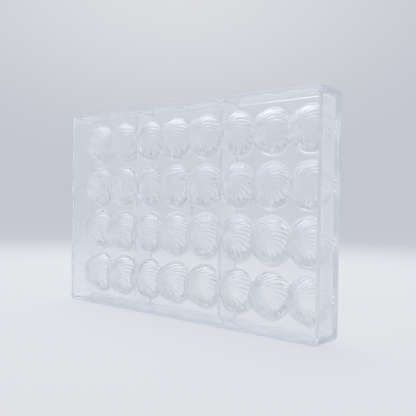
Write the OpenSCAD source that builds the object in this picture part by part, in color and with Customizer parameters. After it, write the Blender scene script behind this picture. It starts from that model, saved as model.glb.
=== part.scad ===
// Chocolate mould with rows of swirled half-ball cavities, moulded in one clear piece.
// It is drawn face down, with the mouths of the cavities at z = 0 and the open side
// of the skirt on top, and is then stood on one long edge.
// Standing, X runs along the mould, +Y is the side of the mouths and +Z is up.

/* [Outline] */
// Length of the mould
mould_length = 275; // [270:1:320]
// Width of the mould, which is its height as it stands
mould_width = 175; // [160:1:220]
// Depth of the mould, from the mouths to the rim of the skirt
mould_depth = 25; // [23.5:0.5:32]
// Radius of the four outer corners
corner_r = 4; // [1:0.5:8]

/* [Plate and skirt] */
// Thickness of the plate that joins the cavities
plate_t = 4.2; // [2.5:0.1:5]
// Thickness of the skirt at its rim
rim_wall = 3; // [2:0.1:3.8]
// Thickness of the skirt where it meets the plate
foot_wall = 4; // [3.2:0.1:5]
// Height and width of the slope between the skirt and the plate
foot_slope = 1.5; // [0.5:0.1:3]
// Radius of the four inner corners of the skirt
inner_corner_r = 3; // [1:0.5:8]

/* [Cavities] */
// Number of cavities along the mould
columns = 8; // [1:1:8]
// Number of cavities across the mould
rows = 4; // [1:1:4]
// Distance between the cavities along the mould
column_pitch = 33.3; // [32.4:0.1:33.8]
// Distance between the cavities across the mould
row_pitch = 40.6; // [33:0.1:44]
// Mean radius of a cavity
cavity_r = 12.5; // [10.5:0.1:14.5]
// Wall between a cavity and its domed back
dome_wall = 4.6; // [3:0.1:5.4]

/* [Swirl] */
// Number of ribs in each cavity
swirl_ribs = 21; // [12:1:25]
// Turn of a rib from the crown to the mouth, in degrees
swirl_turn = 55; // [0:5:90]
// Height of a rib from its valley to its ridge
rib_height = 0.5; // [0.2:0.1:1.2]

/* [Cross webs] */
// Distance of each of the two webs from the middle of the mould
web_offset = 48.2; // [20:0.1:100]
// Thickness of a web
web_t = 3; // [1:0.1:4]
// Distance of a web's free edge below the rim
web_drop = 1.5; // [0.5:0.1:2.5]
// Radius of a web's free corners
web_corner_r = 10; // [4:0.5:14]
// Depth to which a web's ends reach into the skirt
web_root = 2; // [1:0.1:2.5]

/* [Gate boss] */
// Diameter of the boss where the plastic was let in
gate_d = 7; // [4:0.5:12]
// Height of the boss above the plate
gate_h = 3; // [0.5:0.5:6]

/* [Hidden] */
$fn = 96;
// Small overlap that lets one solid run into or past another
over = 1;
// Thickness of the slices that the hollow of the skirt is stretched over
slice = 0.01;
// Height of the centre of a half ball, which is the back of the plate
ball_z = plate_t;
dome_r = cavity_r + dome_wall;
// Angles from the crown at which the swirl has its rings, from the crown outwards
ring_at = [20, 45, 68, 90];
last_ring = len(ring_at) - 1;
// Share by which the skirt thins for each millimetre towards the rim
skirt_draft = (foot_wall - rim_wall) / (mould_depth - plate_t);

// Centres of the cavities on the plate
cavity_at = [for (i = [0 : columns - 1], j = [0 : rows - 1])
    [(i - (columns - 1) / 2) * column_pitch, (j - (rows - 1) / 2) * row_pitch]];

// Flat outline of the mould with round corners
module outline(length, width, r) {
    square([length - 2 * r, width], center = true);
    square([length, width - 2 * r], center = true);
    for (x = [-1, 1], y = [-1, 1])
        translate([x * (length / 2 - r), y * (width / 2 - r)])
            circle(r);
}

// One level of the hollow inside the skirt, a wall thickness away from the outline
module hollow_level(z, wall) {
    x_c = mould_length / 2 - wall - inner_corner_r;
    y_c = mould_width / 2 - wall - inner_corner_r;
    for (x = [-x_c, x_c], y = [-y_c, y_c])
        translate([x, y, z])
            cylinder(r = inner_corner_r, h = slice, $fn = 32);
}

// Hollow of the skirt, which widens towards the rim and has sloped lower edges
module skirt_hollow() {
    hull() {
        hollow_level(plate_t, foot_wall + foot_slope);
        hollow_level(plate_t + foot_slope, foot_wall - skirt_draft * foot_slope);
        hollow_level(mould_depth + over, rim_wall - skirt_draft * over);
    }
}

// Plate with the skirt round it
module tray() {
    difference() {
        linear_extrude(mould_depth) outline(mould_length, mould_width, corner_r);
        skirt_hollow();
    }
}

// Web across the mould with round free corners
module cross_web(x) {
    half = mould_width / 2 - foot_wall + web_root;
    top = mould_depth - web_drop;
    translate([x + web_t / 2, 0, 0])
        rotate([90, 0, -90])
            linear_extrude(web_t) {
                translate([-half, 0])
                    square([2 * half, top - web_corner_r]);
                translate([-half + web_corner_r, 0])
                    square([2 * (half - web_corner_r), top]);
                for (side = [-1, 1])
                    translate([side * (half - web_corner_r), top - web_corner_r])
                        circle(web_corner_r);
            }
}

// Domed back of one cavity, which starts in the plate
module dome() {
    difference() {
        translate([0, 0, ball_z]) sphere(dome_r);
        translate([-dome_r - over, -dome_r - over, -2 * dome_r])
            cube([2 * (dome_r + over), 2 * (dome_r + over), 2 * dome_r + plate_t / 2]);
    }
}

// A point of the swirl, where a side of 1 is a ridge and -1 a valley. The ribs grow from
// nothing at the crown and turn as they go outwards.
function swirl_point(phi, k, side) =
    let (r = cavity_r + side * rib_height / 2 * sin(phi), a = 180 * k / swirl_ribs - swirl_turn * phi / 90)
    [r * sin(phi) * cos(a), r * sin(phi) * sin(a), ball_z + r * cos(phi)];

// Points of a ring with both a ridge and a valley for each rib
function full_ring(phi) =
    [for (k = [0 : 2 * swirl_ribs - 1]) swirl_point(phi, k, k % 2 == 0 ? 1 : -1)];

// Half ball of one cavity with its ribs: a crown, a ring of ridges, full rings and a flat end
module swirl_ball() {
    n = swirl_ribs;
    points = concat(
        [[0, 0, ball_z + cavity_r]],
        [for (k = [0 : n - 1]) swirl_point(ring_at[0], 2 * k, 1)],
        [for (j = [1 : last_ring]) each full_ring(ring_at[j])],
        [[0, 0, ball_z]]
    );
    // Number of a point in the list above: the crown, point k of the first ring or of full
    // ring j, and the middle of the flat end
    crown = 0;
    function ridge(k) = 1 + k % n;
    function on_ring(j, k) = 1 + n + 2 * n * (j - 1) + k % (2 * n);
    middle = 1 + n + 2 * n * last_ring;
    faces = concat(
        [for (k = [0 : n - 1]) each [
            [crown, ridge(k + 1), ridge(k)],
            [ridge(k), on_ring(1, 2 * k + 1), on_ring(1, 2 * k)],
            [ridge(k), ridge(k + 1), on_ring(1, 2 * k + 1)],
            [ridge(k + 1), on_ring(1, 2 * k + 2), on_ring(1, 2 * k + 1)]
        ]],
        [for (j = [1 : last_ring - 1], k = [0 : 2 * n - 1]) each [
            [on_ring(j, k), on_ring(j + 1, k + 1), on_ring(j + 1, k)],
            [on_ring(j, k), on_ring(j, k + 1), on_ring(j + 1, k + 1)]
        ]],
        [for (k = [0 : 2 * n - 1]) [middle, on_ring(last_ring, k), on_ring(last_ring, k + 1)]]
    );
    polyhedron(points, faces);
}

// Hollow of one cavity: the ribbed half ball and its straight mouth through the plate
module swirl_cavity() {
    swirl_ball();
    translate([0, 0, -over])
        linear_extrude(ball_z + over)
            polygon([for (p = full_ring(ring_at[last_ring])) [p[0], p[1]]]);
}

// Boss at the middle of the back, where the plastic was let into the tool
module gate_boss() {
    translate([0, 0, plate_t / 2])
        cylinder(d = gate_d, h = plate_t / 2 + gate_h);
}

// The whole mould, face down
module mould_face_down() {
    difference() {
        union() {
            tray();
            for (side = [-1, 1]) cross_web(side * web_offset);
            for (p = cavity_at) translate([p[0], p[1], 0]) dome();
            gate_boss();
        }
        for (p = cavity_at) translate([p[0], p[1], 0]) swirl_cavity();
    }
}

module mould_body() {
    color([0.86, 0.90, 0.92, 0.4])
        translate([0, mould_depth / 2, mould_width / 2])
            rotate([90, 0, 0])
                mould_face_down();
}

mould_body();
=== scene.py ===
import math

import bmesh
import bpy
from bpy.props import FloatProperty, FloatVectorProperty, IntProperty, PointerProperty
from mathutils import Matrix, Vector


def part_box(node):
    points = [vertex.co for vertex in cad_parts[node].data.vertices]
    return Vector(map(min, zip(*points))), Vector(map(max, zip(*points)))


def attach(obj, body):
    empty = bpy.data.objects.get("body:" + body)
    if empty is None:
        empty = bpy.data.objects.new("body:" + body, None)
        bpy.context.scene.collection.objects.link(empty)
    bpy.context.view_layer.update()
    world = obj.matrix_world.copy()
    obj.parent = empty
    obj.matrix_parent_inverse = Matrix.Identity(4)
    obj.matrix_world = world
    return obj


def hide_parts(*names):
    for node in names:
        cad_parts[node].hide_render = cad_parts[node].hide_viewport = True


bl_info = {
    "name": "Clear Chocolate Mould",
    "version": (1, 0, 0),
    "blender": (4, 5, 0),
    "location": "3D View > Sidebar > Mould",
    "description": "Builds a clear moulded tray of swirled cavities and its studio",
    "category": "Add Mesh",
}

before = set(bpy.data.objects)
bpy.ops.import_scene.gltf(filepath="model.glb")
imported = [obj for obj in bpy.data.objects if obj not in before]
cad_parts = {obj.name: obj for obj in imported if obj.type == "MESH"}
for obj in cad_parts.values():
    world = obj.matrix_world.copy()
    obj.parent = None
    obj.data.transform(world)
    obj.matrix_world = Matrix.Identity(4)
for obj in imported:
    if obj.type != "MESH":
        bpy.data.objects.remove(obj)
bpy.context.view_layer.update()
LOW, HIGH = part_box("mould_body")
MM = 0.001

# Clear walls that a ray may pass
MOST_WALLS = 32
# Reach of a cutting solid past the face that it cuts
OVER = 1.0 * MM
# Distance within which two points are one
NEAR = 1e-6
# Steps of the arcs in rounded edges, feet, corners, half balls and the sweep of the backdrop
EDGE_STEPS = 3
FOOT_STEPS = 5
CORNER_STEPS = 8
INNER_CORNER_STEPS = 6
WEB_CORNER_STEPS = 10
BALL_STEPS = 12
SWEEP_STEPS = 12
# Steps round the forms that are spun
DOME_SPIN = 64
SPIN_PER_RIB = 4
BOSS_SPIN = 48
SWEEP_SPIN = 96
# Angle between two faces up to which they are shaded as one curve
SMOOTH_ANGLE = math.radians(35)
# Least area of a plane that is shaded flat
FLAT_AREA = 150 * MM * MM
# Scale and detail of the slow change in the gloss of the plastic
FLOW_SCALE = 45.0
FLOW_DETAIL = 2.0
# Point that the lamp faces
LAMP_AIM = Vector((0.0, 0.0, 0.09))


def length_of(value, about, name):
    """A size of the mould, given in millimetres and kept in metres."""
    return FloatProperty(
        name=name, description=about, default=value * MM, min=0.0, unit="LENGTH", subtype="DISTANCE"
    )


def colour_of(rgb, about, name):
    """A plain colour in linear light."""
    return FloatVectorProperty(
        name=name, description=about, default=rgb, size=3, min=0.0, max=1.0, subtype="COLOR"
    )


class MouldSizes(bpy.types.PropertyGroup):
    """Sizes of the moulding. The outer size comes from the frame."""

    corner_r: length_of(4.0, "Radius of the four outer corners", "Corner radius")
    edge_r: length_of(0.7, "Radius that the long edges are rounded to", "Edge radius")
    plate_t: length_of(4.2, "Thickness of the plate that joins the cavities", "Plate thickness")
    rim_wall: length_of(3.0, "Thickness of the skirt at its rim", "Rim wall")
    foot_wall: length_of(4.0, "Thickness of the skirt where it meets the plate", "Foot wall")
    foot_r: length_of(1.5, "Radius between the skirt and the plate", "Foot radius")
    inner_corner_r: length_of(3.0, "Radius of the skirt's inner corners", "Inner corner radius")
    columns: IntProperty(name="Columns", description="Cavities along the mould", default=8, min=1)
    rows: IntProperty(name="Rows", description="Cavities across the mould", default=4, min=1)
    column_pitch: length_of(33.3, "Distance between the cavities along the mould", "Column pitch")
    row_pitch: length_of(40.6, "Distance between the cavities across the mould", "Row pitch")
    cavity_r: length_of(12.5, "Mean radius of a cavity", "Cavity radius")
    dome_wall: length_of(4.6, "Wall between a cavity and its domed back", "Dome wall")
    dome_foot_r: length_of(3.0, "Radius between a dome and the plate", "Dome foot radius")
    swirl_ribs: IntProperty(name="Swirl ribs", description="Ribs in each cavity", default=21, min=3)
    swirl_turn: FloatProperty(
        name="Swirl turn",
        description="Turn of a rib from the crown of a cavity to its mouth",
        default=math.radians(55.0),
        subtype="ANGLE",
    )
    rib_height: length_of(0.5, "Height of a rib from its valley to its ridge", "Rib height")
    web_offset: length_of(48.2, "Distance of each web from the middle", "Web offset")
    web_t: length_of(3.0, "Thickness of a web", "Web thickness")
    web_drop: length_of(1.5, "Distance of a web's free edge below the rim", "Web drop")
    web_corner_r: length_of(10.0, "Radius of a web's free corners", "Web corner radius")
    web_root: length_of(2.0, "Depth to which a web's ends reach into the skirt", "Web root")
    gate_d: length_of(7.0, "Diameter of the boss where the plastic was let in", "Gate diameter")
    gate_h: length_of(3.0, "Height of the gate boss above the plate", "Gate height")


class PlasticFinish(bpy.types.PropertyGroup):
    """Look of the clear plastic."""

    clear: colour_of((0.932, 0.945, 0.968), "Colour of the light that a face lets through", "Clear")
    tint: colour_of((0.4, 0.6, 0.85), "Colour that thick plastic takes", "Edge tint")
    tint_density: FloatProperty(
        name="Tint density",
        description="How fast the tint deepens, per metre",
        default=9.0,
        min=0.0,
    )
    ior: FloatProperty(name="IOR", description="Refraction of the plastic", default=1.585, min=1.0)
    haze: FloatProperty(
        name="Haze",
        description="Share of the light that a face scatters",
        default=0.16,
        min=0.0,
        max=1.0,
    )
    gloss: FloatProperty(
        name="Roughness",
        description="Mean roughness of the moulded faces",
        default=0.2,
        min=0.0,
        max=1.0,
    )
    shadow: colour_of((0.88, 0.9, 0.93), "Share of a lamp's light that passes each face", "Shadow")


class StudioLook(bpy.types.PropertyGroup):
    """The floor, the backdrop, the light and the camera."""

    floor: colour_of((0.77, 0.772, 0.795), "Colour of the floor", "Floor")
    wall_dim: colour_of(
        (0.548, 0.568, 0.628), "Colour of the backdrop far from its glow", "Backdrop"
    )
    wall_glow: colour_of((0.725, 0.73, 0.76), "Colour in the middle of the glow", "Backdrop glow")
    glow_at: FloatVectorProperty(
        name="Glow place",
        description="Middle of the glow",
        default=(-0.82, 0.8, 0.68),
        subtype="TRANSLATION",
    )
    glow_r: FloatProperty(
        name="Glow radius",
        description="Distance at which the glow ends",
        default=1.0,
        unit="LENGTH",
    )
    glow_squash: FloatProperty(
        name="Glow squash",
        description="How many times lower the glow is than it is wide",
        default=1.8,
        min=1.0,
    )
    wall_rest: colour_of(
        (0.74, 0.75, 0.77), "Colour of the backdrop behind the camera", "Backdrop rest"
    )
    rest_from: FloatProperty(
        name="Rest start",
        description="Distance from the glow where the rest starts",
        default=1.1,
        unit="LENGTH",
    )
    rest_to: FloatProperty(
        name="Rest end",
        description="Distance from the glow where only the rest is left",
        default=1.6,
        unit="LENGTH",
    )
    floor_fade_from: FloatProperty(
        name="Floor fade start",
        description="Where the floor starts to fade",
        default=0.42,
        unit="LENGTH",
    )
    floor_fade_to: FloatProperty(
        name="Floor fade end",
        description="Where the floor has become the backdrop",
        default=1.2,
        unit="LENGTH",
    )
    floor_r: FloatProperty(
        name="Floor radius",
        description="Where the floor starts to curve up",
        default=1.0,
        unit="LENGTH",
    )
    floor_gap: length_of(0.2, "Gap that keeps the floor clear of the mould", "Floor gap")
    sweep_r: FloatProperty(
        name="Sweep radius",
        description="Radius of the curve up to the backdrop",
        default=0.15,
        unit="LENGTH",
    )
    wall_h: FloatProperty(
        name="Backdrop height", description="Height of the backdrop", default=1.1, unit="LENGTH"
    )
    world_tint: colour_of((0.97, 0.98, 1.0), "Colour of the light from all round", "World tint")
    world_level: FloatProperty(
        name="World level",
        description="Strength of the light from all round",
        default=0.86,
        min=0.0,
    )
    softbox_power: FloatProperty(
        name="Softbox power",
        description="Power of the lamp above the mould, in watts",
        default=4.0,
        min=0.0,
    )
    softbox_size: FloatProperty(
        name="Softbox size",
        description="Side of the lamp above the mould",
        default=0.85,
        unit="LENGTH",
    )
    softbox_at: FloatVectorProperty(
        name="Softbox place",
        description="Place of the lamp",
        default=(-0.35, 0.4, 1.3),
        subtype="TRANSLATION",
    )
    camera_at: FloatVectorProperty(
        name="Camera place",
        description="Place of the camera",
        default=(0.35076, -0.36264, 0.09755),
        subtype="TRANSLATION",
    )
    camera_yaw: FloatProperty(
        name="Camera yaw",
        description="Turn of the view to the left of +Y",
        default=0.7296,
        subtype="ANGLE",
    )
    camera_pitch: FloatProperty(
        name="Camera pitch", description="Rise of the view", default=-0.0147, subtype="ANGLE"
    )
    camera_roll: FloatProperty(
        name="Camera roll", description="Roll of the view", default=0.0145, subtype="ANGLE"
    )
    lens: FloatProperty(
        name="Lens", description="Focal length in millimetres", default=52.85, min=1.0
    )


def new_mesh(name, bm):
    """Make a mesh of a bmesh, with its seams and poles closed and its faces pointing outwards."""
    bmesh.ops.remove_doubles(bm, verts=bm.verts, dist=NEAR)
    bmesh.ops.recalc_face_normals(bm, faces=bm.faces)
    mesh = bpy.data.meshes.new(name)
    bm.to_mesh(mesh)
    bm.free()
    return mesh


def new_object(name, mesh):
    """Put a mesh in the scene."""
    obj = bpy.data.objects.new(name, mesh)
    bpy.context.scene.collection.objects.link(obj)
    return obj


def repeated(name, mesh, places):
    """One object that has a copy of the mesh at each place."""
    bm = bmesh.new()
    for x, y in places:
        copy = mesh.copy()
        copy.transform(Matrix.Translation((x, y, 0.0)))
        bm.from_mesh(copy)
        bpy.data.meshes.remove(copy)
    whole = bpy.data.meshes.new(name)
    bm.to_mesh(whole)
    bm.free()
    return new_object(name, whole)


def combine(target, tool, how):
    """Join the tool to the target (UNION) or cut it out (DIFFERENCE), and remove the tool."""
    step = target.modifiers.new(how.title(), "BOOLEAN")
    step.operation = how
    step.solver = "MANIFOLD"
    step.object = tool
    bpy.context.view_layer.update()
    combined = target.evaluated_get(bpy.context.evaluated_depsgraph_get())
    made = bpy.data.meshes.new_from_object(combined)
    target.modifiers.clear()
    spent = target.data
    target.data = made
    made.name = target.name
    bpy.data.meshes.remove(spent)
    bpy.data.meshes.remove(tool.data)


def quarter_round(radius, steps, start, end):
    """Offsets (across, up) of points on an arc about the origin, with both angles in degrees."""
    angles = [math.radians(start + (end - start) * k / steps) for k in range(steps + 1)]
    return [(radius * math.cos(a), radius * math.sin(a)) for a in angles]


def loft(name, length, width, corner_r, levels, corner_steps):
    """Closed solid of round-cornered rectangles, one for each (height, inset) of the levels."""
    bm = bmesh.new()
    height, inset = levels[0]
    corners = bmesh.ops.create_grid(bm, x_segments=1, y_segments=1, size=0.5)["verts"]
    bmesh.ops.scale(bm, vec=(length - 2 * inset, width - 2 * inset, 1.0), verts=corners)
    bmesh.ops.translate(bm, vec=(0.0, 0.0, height), verts=corners)
    bmesh.ops.bevel(
        bm,
        geom=corners,
        offset=corner_r,
        segments=corner_steps,
        profile=0.5,
        affect="VERTICES",
        material=-1,
    )
    bottom = face = bm.faces[:][0]
    for next_height, next_inset in levels[1:]:
        last = face
        made = bmesh.ops.extrude_face_region(bm, geom=[last])["geom"]
        face = next(g for g in made if isinstance(g, bmesh.types.BMFace))
        if last is not bottom:
            bmesh.ops.delete(bm, geom=[last], context="FACES_ONLY")
        verts = face.verts[:]
        bmesh.ops.translate(bm, vec=(0.0, 0.0, next_height - height), verts=verts)
        grow_x = (length - 2 * next_inset) / (length - 2 * inset)
        grow_y = (width - 2 * next_inset) / (width - 2 * inset)
        bmesh.ops.scale(bm, vec=(grow_x, grow_y, 1.0), verts=verts)
        height, inset = next_height, next_inset
    return new_object(name, new_mesh(name, bm))


def lathe(outline, steps):
    """Spin an outline of (radius, height) points about the vertical axis."""
    bm = bmesh.new()
    verts = [bm.verts.new((r, 0.0, z)) for r, z in outline]
    edges = [bm.edges.new(pair) for pair in zip(verts, verts[1:])]
    bmesh.ops.spin(
        bm,
        geom=verts + edges,
        cent=(0.0, 0.0, 0.0),
        axis=(0.0, 0.0, 1.0),
        angle=math.tau,
        steps=steps,
        use_merge=True,
    )
    return bm


def cavity_places(s, parity=None):
    """Centres of the cavities, of all columns or of every second one."""
    return [
        ((i - (s.columns - 1) / 2) * s.column_pitch, (j - (s.rows - 1) / 2) * s.row_pitch)
        for i in range(s.columns)
        for j in range(s.rows)
        if parity is None or i % 2 == parity
    ]


def tray_block(s, length, width, depth):
    """The mould as a full block with rounded edges, before it is hollowed."""
    r = s.edge_r
    front = [(r + up, r - across) for across, up in quarter_round(r, EDGE_STEPS, -90, 0)]
    back = [(depth - r + up, r - across) for across, up in quarter_round(r, EDGE_STEPS, 0, 90)]
    return loft("mould", length, width, s.corner_r, front + back, CORNER_STEPS)


def skirt_hollow(s, length, width, depth):
    """The hollow inside the skirt, with a round foot and a rounded rim."""
    foot = [
        (s.plate_t + s.foot_r + up, s.foot_wall + s.foot_r - across)
        for across, up in quarter_round(s.foot_r, FOOT_STEPS, -90, 0)
    ]
    rim = [
        (depth - s.edge_r + up, s.rim_wall - s.edge_r + across)
        for across, up in quarter_round(s.edge_r, EDGE_STEPS, 0, 90)
    ]
    levels = foot + rim + [(depth + OVER, rim[-1][1])]
    return loft("hollow", length, width, s.inner_corner_r, levels, INNER_CORNER_STEPS)


def cross_web(s, x, width, depth):
    """One web across the mould, with round free corners and a rounded free edge."""
    bm = bmesh.new()
    top = depth - s.web_drop
    half = width / 2 - s.foot_wall + s.web_root
    low = s.plate_t / 2
    verts = bmesh.ops.create_cube(bm, size=1.0)["verts"]
    bmesh.ops.scale(bm, vec=(s.web_t, 2 * half, top - low), verts=verts)
    bmesh.ops.translate(bm, vec=(x, 0.0, (top + low) / 2), verts=verts)

    def edges_above(height, through):
        """Edges above a height that run through the web's thickness, or that don't."""
        return [
            e
            for e in bm.edges
            if all(v.co.z > height for v in e.verts)
            and (abs(e.verts[0].co.x - e.verts[1].co.x) > NEAR) == through
        ]

    bmesh.ops.bevel(
        bm,
        geom=edges_above(top - NEAR, through=True),
        offset=s.web_corner_r,
        segments=WEB_CORNER_STEPS,
        profile=0.5,
        affect="EDGES",
        material=-1,
    )
    bmesh.ops.bevel(
        bm,
        geom=edges_above(low + NEAR, through=False),
        offset=s.edge_r,
        segments=EDGE_STEPS,
        profile=0.5,
        affect="EDGES",
        material=-1,
    )
    return new_object("web", new_mesh("web", bm))


def domes(s, parity):
    """The domed backs of every second column of cavities, each flared into the plate."""
    dome_r = s.cavity_r + s.dome_wall
    flare = s.dome_foot_r
    rise = math.degrees(math.asin(flare / (dome_r + flare)))
    flare_at = math.sqrt((dome_r + flare) ** 2 - flare**2)
    cap = [(r, s.plate_t + z) for r, z in quarter_round(dome_r, BALL_STEPS, 90, rise)]
    cap[0] = (0.0, s.plate_t + dome_r)
    foot = [
        (flare_at + r, s.plate_t + flare + z)
        for r, z in quarter_round(flare, FOOT_STEPS, 180 + rise, 270)
    ]
    outline = cap + foot[1:] + [(flare_at, s.plate_t / 2), (0.0, s.plate_t / 2)]
    return repeated("domes", new_mesh("dome", lathe(outline, DOME_SPIN)), cavity_places(s, parity))


def swirl_cavities(s):
    """The hollows of all cavities, spun round and then pressed into turning ribs."""
    cap = [(r, s.plate_t + z) for r, z in quarter_round(s.cavity_r, BALL_STEPS, 90, 0)]
    cap[0] = (0.0, s.plate_t + s.cavity_r)
    bm = lathe(cap + [(s.cavity_r, -OVER), (0.0, -OVER)], SPIN_PER_RIB * s.swirl_ribs)
    quarter = s.cavity_r * math.pi / 2
    for v in bm.verts:
        across = math.hypot(v.co.x, v.co.y)
        above = v.co.z - s.plate_t
        down = math.atan2(across, max(above, 0.0))
        gone = (down * s.cavity_r - min(above, 0.0)) / quarter
        angle = math.atan2(v.co.y, v.co.x)
        rib = s.rib_height / 2 * math.sin(down) * math.cos(s.swirl_ribs * angle)
        grow = 1 + rib / s.cavity_r
        turned = angle - s.swirl_turn * gone
        height = s.plate_t + above * grow if above > 0 else v.co.z
        v.co = (across * grow * math.cos(turned), across * grow * math.sin(turned), height)
    return repeated("cavities", new_mesh("cavity", bm), cavity_places(s))


def gate_boss(s):
    """The boss at the middle of the back, with a rounded top edge."""
    r = s.gate_d / 2
    top = s.plate_t + s.gate_h
    edge = [
        (r - s.edge_r + across, top - s.edge_r + up)
        for across, up in quarter_round(s.edge_r, EDGE_STEPS, 90, 0)
    ]
    outline = [(0.0, top)] + edge + [(r, s.plate_t / 2), (0.0, s.plate_t / 2)]
    return new_object("gate", new_mesh("gate", lathe(outline, BOSS_SPIN)))


def smooth_but_flat_planes(obj):
    """Shade curved faces smooth, and keep every large plane flat up to its rounded edges."""
    mesh = obj.data
    planes = {}
    keys = []
    for face in mesh.polygons:
        n = face.normal
        key = (round(n.x, 3), round(n.y, 3), round(n.z, 3), round(n.dot(face.center), 5))
        keys.append(key)
        planes[key] = planes.get(key, 0.0) + face.area
    flat = [planes[key] > FLAT_AREA for key in keys]
    plane_at = {}
    for face, is_flat in zip(mesh.polygons, flat):
        if is_flat:
            for v in face.vertices:
                plane_at.setdefault(v, set()).add(face.normal.copy().freeze())
    mesh.shade_smooth()
    mesh.set_sharp_from_angle(angle=SMOOTH_ANGLE)
    smooth = [c.vector.copy() for c in mesh.corner_normals]
    for face, is_flat in zip(mesh.polygons, flat):
        for corner, v in zip(face.loop_indices, face.vertices):
            if is_flat:
                smooth[corner] = face.normal.copy()
            elif v in plane_at:
                near = [n for n in plane_at[v] if n.dot(face.normal) > math.cos(SMOOTH_ANGLE)]
                if near:
                    smooth[corner] = near[0]
    mesh.normals_split_custom_set(smooth)


def clear_plastic(p):
    """Clear, glossy plastic with a faint tint where the light goes a long way through it."""
    mat = bpy.data.materials.new("clear_plastic")
    mat.use_nodes = True
    nodes, links = mat.node_tree.nodes, mat.node_tree.links
    shader = nodes["Principled BSDF"]
    shader.inputs["Base Color"].default_value = (*p.clear, 1.0)
    shader.inputs["IOR"].default_value = p.ior
    shader.inputs["Transmission Weight"].default_value = 1.0 - p.haze
    where = nodes.new("ShaderNodeTexCoord")
    flow = nodes.new("ShaderNodeTexNoise")
    flow.inputs["Scale"].default_value = FLOW_SCALE
    flow.inputs["Detail"].default_value = FLOW_DETAIL
    links.new(where.outputs["Object"], flow.inputs["Vector"])
    rough = nodes.new("ShaderNodeMapRange")
    rough.inputs["To Min"].default_value = p.gloss * 0.5
    rough.inputs["To Max"].default_value = p.gloss * 1.5
    links.new(flow.outputs["Fac"], rough.inputs["Value"])
    links.new(rough.outputs["Result"], shader.inputs["Roughness"])
    path = nodes.new("ShaderNodeLightPath")
    see_through = nodes.new("ShaderNodeBsdfTransparent")
    see_through.inputs["Color"].default_value = (*p.shadow, 1.0)
    let_lamps_through = nodes.new("ShaderNodeMixShader")
    links.new(path.outputs["Is Shadow Ray"], let_lamps_through.inputs["Fac"])
    links.new(shader.outputs["BSDF"], let_lamps_through.inputs[1])
    links.new(see_through.outputs["BSDF"], let_lamps_through.inputs[2])
    links.new(let_lamps_through.outputs["Shader"], nodes["Material Output"].inputs["Surface"])
    inside = nodes.new("ShaderNodeVolumeAbsorption")
    inside.inputs["Color"].default_value = (*p.tint, 1.0)
    inside.inputs["Density"].default_value = p.tint_density
    links.new(inside.outputs["Volume"], nodes["Material Output"].inputs["Volume"])
    return mat


class MOULD_OT_body(bpy.types.Operator):
    """Build the one-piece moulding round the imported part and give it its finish"""

    bl_idname = "mould.body"
    bl_label = "Mould body"

    def execute(self, context):
        s = context.scene.mould_sizes
        length, depth, width = HIGH - LOW
        mould = tray_block(s, length, width, depth)
        combine(mould, skirt_hollow(s, length, width, depth), "DIFFERENCE")
        for side in (-1, 1):
            combine(mould, cross_web(s, side * s.web_offset, width, depth), "UNION")
        for parity in (0, 1):
            combine(mould, domes(s, parity), "UNION")
        combine(mould, gate_boss(s), "UNION")
        combine(mould, swirl_cavities(s), "DIFFERENCE")
        stand = Matrix.Rotation(math.radians(90), 4, "X")
        middle = (LOW + HIGH) / 2
        place = Matrix.Translation((middle.x, HIGH.y, middle.z)) @ stand
        mould.data.transform(place)
        smooth_but_flat_planes(mould)
        mould.data.materials.clear()
        mould.data.materials.append(clear_plastic(context.scene.mould_plastic))
        mould.name = mould.data.name = "moulding"
        mould.visible_diffuse = False
        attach(mould, "root")
        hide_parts("mould_body")
        return {"FINISHED"}


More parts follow.
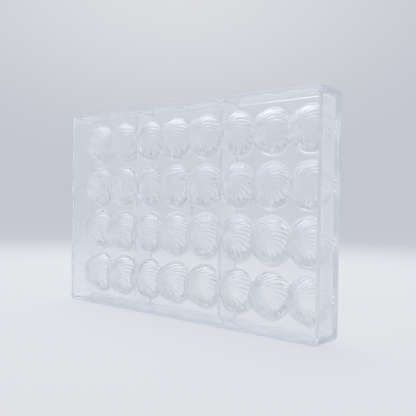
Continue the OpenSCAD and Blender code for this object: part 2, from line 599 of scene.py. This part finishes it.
def studio_paint(look):
    """Floor that takes light and shadow, and fades into a backdrop with a soft glow on it."""
    mat = bpy.data.materials.new("studio_paint")
    mat.use_nodes = True
    nodes, links = mat.node_tree.nodes, mat.node_tree.links
    nodes.remove(nodes["Principled BSDF"])
    floor = nodes.new("ShaderNodeBsdfDiffuse")
    floor.inputs["Color"].default_value = (*look.floor, 1.0)
    wall = nodes.new("ShaderNodeEmission")
    where = nodes.new("ShaderNodeTexCoord")

    def share(measure, operation, other, start, end):
        """Smooth step over a length that is measured from the place on the backdrop."""
        measure.operation = operation
        measure.inputs[1].default_value = other
        step = nodes.new("ShaderNodeMapRange")
        step.interpolation_type = "SMOOTHSTEP"
        step.inputs["From Min"].default_value = start
        step.inputs["From Max"].default_value = end
        return step

    squashed = nodes.new("ShaderNodeVectorMath")
    squashed.operation = "MULTIPLY"
    squashed.inputs[1].default_value = (1.0, 1.0, look.glow_squash)
    links.new(where.outputs["Object"], squashed.inputs[0])
    from_glow = nodes.new("ShaderNodeVectorMath")
    links.new(squashed.outputs["Vector"], from_glow.inputs[0])
    x, y, z = look.glow_at
    dim = share(from_glow, "DISTANCE", (x, y, z * look.glow_squash), 0.0, look.glow_r)
    links.new(from_glow.outputs["Value"], dim.inputs["Value"])
    shade = nodes.new("ShaderNodeMix")
    shade.data_type = "RGBA"
    shade.inputs["A"].default_value = (*look.wall_glow, 1.0)
    shade.inputs["B"].default_value = (*look.wall_dim, 1.0)
    links.new(dim.outputs["Result"], shade.inputs["Factor"])
    from_view = nodes.new("ShaderNodeVectorMath")
    links.new(where.outputs["Object"], from_view.inputs[0])
    rest = share(from_view, "DISTANCE", look.glow_at, look.rest_from, look.rest_to)
    links.new(from_view.outputs["Value"], rest.inputs["Value"])
    whole = nodes.new("ShaderNodeMix")
    whole.data_type = "RGBA"
    whole.inputs["B"].default_value = (*look.wall_rest, 1.0)
    links.new(rest.outputs["Result"], whole.inputs["Factor"])
    links.new(shade.outputs["Result"], whole.inputs["A"])
    links.new(whole.outputs["Result"], wall.inputs["Color"])
    flat = nodes.new("ShaderNodeVectorMath")
    flat.operation = "MULTIPLY"
    flat.inputs[1].default_value = (1.0, 1.0, 0.0)
    links.new(where.outputs["Object"], flat.inputs[0])
    from_middle = nodes.new("ShaderNodeVectorMath")
    links.new(flat.outputs["Vector"], from_middle.inputs[0])
    away = share(from_middle, "DISTANCE", (0.0, 0.0, 0.0), look.floor_fade_from, look.floor_fade_to)
    links.new(from_middle.outputs["Value"], away.inputs["Value"])
    blend = nodes.new("ShaderNodeMixShader")
    links.new(away.outputs["Result"], blend.inputs["Fac"])
    links.new(floor.outputs["BSDF"], blend.inputs[1])
    links.new(wall.outputs["Emission"], blend.inputs[2])
    links.new(blend.outputs["Shader"], nodes["Material Output"].inputs["Surface"])
    return mat


class MOULD_OT_stage(bpy.types.Operator):
    """Set up the pale floor and backdrop, the soft light and the camera"""

    bl_idname = "mould.stage"
    bl_label = "Studio"

    def execute(self, context):
        look = context.scene.mould_studio
        self.add_backdrop(look)
        self.add_light(context, look)
        self.add_camera(context, look)
        self.allow_many_walls(context.scene)
        context.scene.view_settings.view_transform = "Standard"
        return {"FINISHED"}

    def allow_many_walls(self, scene):
        """Let a ray pass the many clear walls that lie behind each other in the mould."""
        scene.cycles.max_bounces = MOST_WALLS
        scene.cycles.transmission_bounces = MOST_WALLS
        scene.cycles.glossy_bounces = MOST_WALLS
        scene.cycles.transparent_max_bounces = MOST_WALLS

    def add_backdrop(self, look):
        bend = [
            (look.floor_r + across, look.sweep_r + up - look.floor_gap)
            for across, up in quarter_round(look.sweep_r, SWEEP_STEPS, -90, 0)
        ]
        outline = [(0.0, -look.floor_gap)] + bend + [(look.floor_r + look.sweep_r, look.wall_h)]
        sweep = new_object("studio_sweep", new_mesh("studio_sweep", lathe(outline, SWEEP_SPIN)))
        for face in sweep.data.polygons:
            face.use_smooth = True
        sweep.data.materials.append(studio_paint(look))
        sweep.visible_diffuse = False
        sweep.visible_shadow = False

    def add_light(self, context, look):
        world = bpy.data.worlds.new("studio_air")
        world.use_nodes = True
        background = world.node_tree.nodes["Background"]
        background.inputs["Color"].default_value = (*look.world_tint, 1.0)
        background.inputs["Strength"].default_value = look.world_level
        context.scene.world = world
        softbox = bpy.data.lights.new("softbox", "AREA")
        softbox.energy = look.softbox_power
        softbox.size = look.softbox_size
        lamp = bpy.data.objects.new("softbox", softbox)
        lamp.location = look.softbox_at
        aim = LAMP_AIM - Vector(look.softbox_at)
        lamp.rotation_euler = aim.to_track_quat("-Z", "Y").to_euler()
        lamp.visible_camera = False
        context.scene.collection.objects.link(lamp)

    def add_camera(self, context, look):
        yaw, pitch, roll = look.camera_yaw, look.camera_pitch, look.camera_roll
        flat = math.cos(pitch)
        ahead = Vector((-math.sin(yaw) * flat, math.cos(yaw) * flat, math.sin(pitch)))
        level = Vector((math.cos(yaw), math.sin(yaw), 0.0))
        upright = level.cross(ahead)
        right = math.cos(roll) * level + math.sin(roll) * upright
        up = math.cos(roll) * upright - math.sin(roll) * level
        turned = Matrix((right, up, -ahead)).transposed().to_4x4()
        camera = bpy.data.objects.new("camera", bpy.data.cameras.new("camera"))
        camera.data.lens = look.lens
        camera.matrix_world = Matrix.Translation(look.camera_at) @ turned
        context.scene.collection.objects.link(camera)
        context.scene.camera = camera


class MOULD_PT_panel(bpy.types.Panel):
    """Lists the sizes, the finish and the studio, with a button for each piece"""

    bl_idname = "MOULD_PT_panel"
    bl_label = "Chocolate mould"
    bl_space_type = "VIEW_3D"
    bl_region_type = "UI"
    bl_category = "Mould"

    def draw(self, context):
        for operator in OPERATORS:
            self.layout.operator(operator.bl_idname)
        scene = context.scene
        for group in (scene.mould_sizes, scene.mould_plastic, scene.mould_studio):
            box = self.layout.box()
            for name in group.__annotations__:
                box.prop(group, name)


OPERATORS = (MOULD_OT_stage, MOULD_OT_body)
CLASSES = (MouldSizes, PlasticFinish, StudioLook, *OPERATORS, MOULD_PT_panel)


def register():
    for cls in CLASSES:
        bpy.utils.register_class(cls)
    bpy.types.Scene.mould_sizes = PointerProperty(type=MouldSizes)
    bpy.types.Scene.mould_plastic = PointerProperty(type=PlasticFinish)
    bpy.types.Scene.mould_studio = PointerProperty(type=StudioLook)


def unregister():
    del bpy.types.Scene.mould_studio
    del bpy.types.Scene.mould_plastic
    del bpy.types.Scene.mould_sizes
    for cls in reversed(CLASSES):
        bpy.utils.unregister_class(cls)


def main():
    register()
    bpy.ops.mould.stage()
    bpy.ops.mould.body()


if __name__ == "__main__":
    main()
